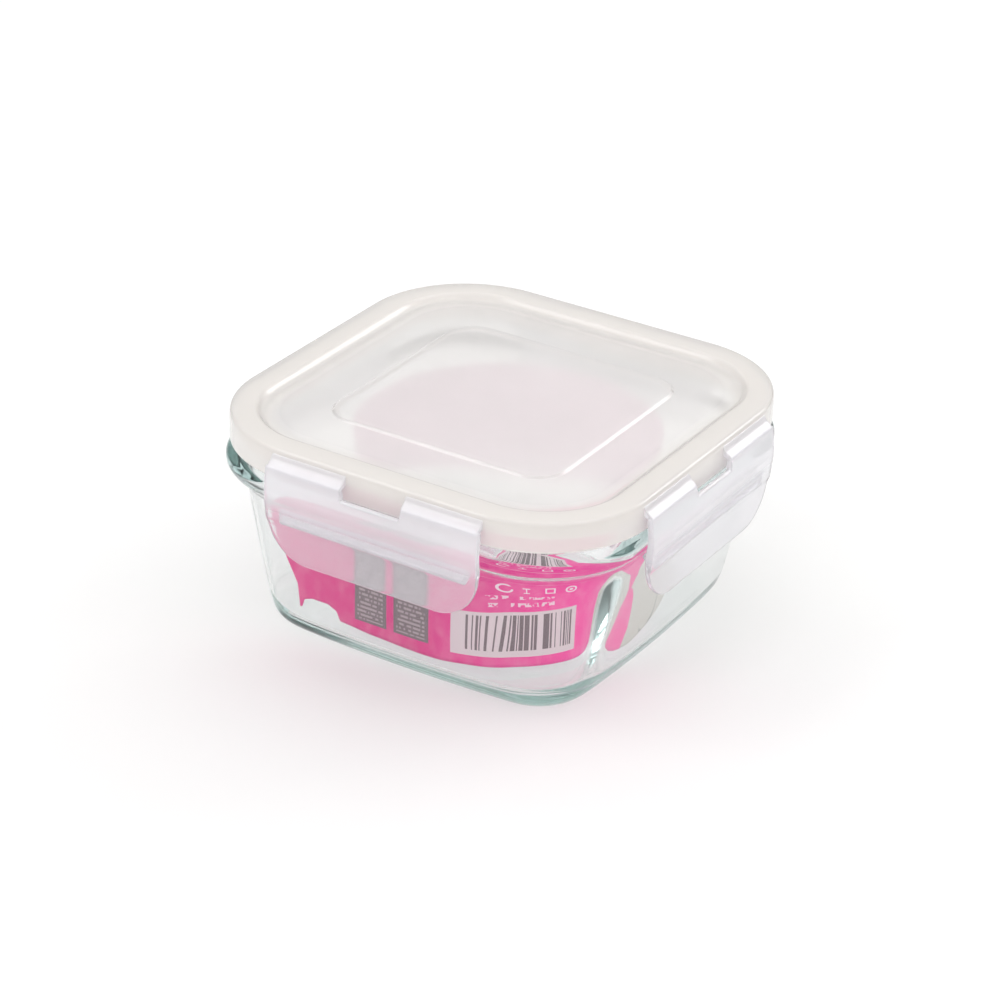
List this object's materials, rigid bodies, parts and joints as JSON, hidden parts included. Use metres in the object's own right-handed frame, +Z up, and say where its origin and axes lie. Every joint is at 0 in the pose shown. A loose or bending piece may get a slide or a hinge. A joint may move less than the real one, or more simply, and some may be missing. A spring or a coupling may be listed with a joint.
{
  "type": "glass storage container",
  "caption": "Square glass food box with a milky sealing lid and a hinged locking flap on each side, and a rolled printed paper standing inside.",
  "frame": {"origin": "centre of the base, on the surface the box stands on", "axes": "+Z up towards the lid; -Y is the front, where the printed paper faces; the four flaps face -Y, +X, +Y and -X"},
  "size_m": [0.1378, 0.1378, 0.0669],
  "materials": {
    "glass": "clear pressed glass, pale green at the edges",
    "lid_plastic": "milky translucent polypropylene, satin",
    "flap_plastic": "thin translucent polypropylene, satin",
    "silicone": "soft translucent white silicone",
    "printed_paper": "glossy printed paper, pink outside and white inside"
  },
  "bodies": {
    "container": {"glass_container": "glass", "paper_insert": "printed_paper"},
    "lid": {"lid_cover": "lid_plastic", "lid_gasket": "silicone", "hinge_film_front_a": "flap_plastic", "hinge_film_front_b": "flap_plastic", "hinge_film_right_a": "flap_plastic", "hinge_film_right_b": "flap_plastic", "hinge_film_back_a": "flap_plastic", "hinge_film_back_b": "flap_plastic", "hinge_film_left_a": "flap_plastic", "hinge_film_left_b": "flap_plastic"},
    "flap_front": {"lock_flap_front": "flap_plastic", "snap_rib_front": "flap_plastic"},
    "flap_right": {"lock_flap_right": "flap_plastic", "snap_rib_right": "flap_plastic"},
    "flap_back": {"lock_flap_back": "flap_plastic", "snap_rib_back": "flap_plastic"},
    "flap_left": {"lock_flap_left": "flap_plastic", "snap_rib_left": "flap_plastic"}
  },
  "joints": [
    {"name": "lid_lift", "type": "slide", "parent": "container", "child": "lid", "axis": [0, 0, 1], "range_m": [0, 0.09], "deforming": ["snap_rib_front", "snap_rib_right", "snap_rib_back", "snap_rib_left"]},
    {"name": "flap_front_hinge", "type": "hinge", "parent": "lid", "child": "flap_front", "pos_m": [0, -0.0673, 0.0619], "axis": [-1, 0, 0], "range_deg": [0, 150], "deforming": ["hinge_film_front_a", "hinge_film_front_b"]},
    {"name": "flap_right_hinge", "type": "hinge", "parent": "lid", "child": "flap_right", "pos_m": [0.0673, 0, 0.0619], "axis": [0, -1, 0], "range_deg": [0, 150], "deforming": ["hinge_film_right_a", "hinge_film_right_b"]},
    {"name": "flap_back_hinge", "type": "hinge", "parent": "lid", "child": "flap_back", "pos_m": [0, 0.0673, 0.0619], "axis": [1, 0, 0], "range_deg": [0, 150], "deforming": ["hinge_film_back_a", "hinge_film_back_b"]},
    {"name": "flap_left_hinge", "type": "hinge", "parent": "lid", "child": "flap_left", "pos_m": [-0.0673, 0, 0.0619], "axis": [0, 1, 0], "range_deg": [0, 150], "deforming": ["hinge_film_left_a", "hinge_film_left_b"]}
  ]
}
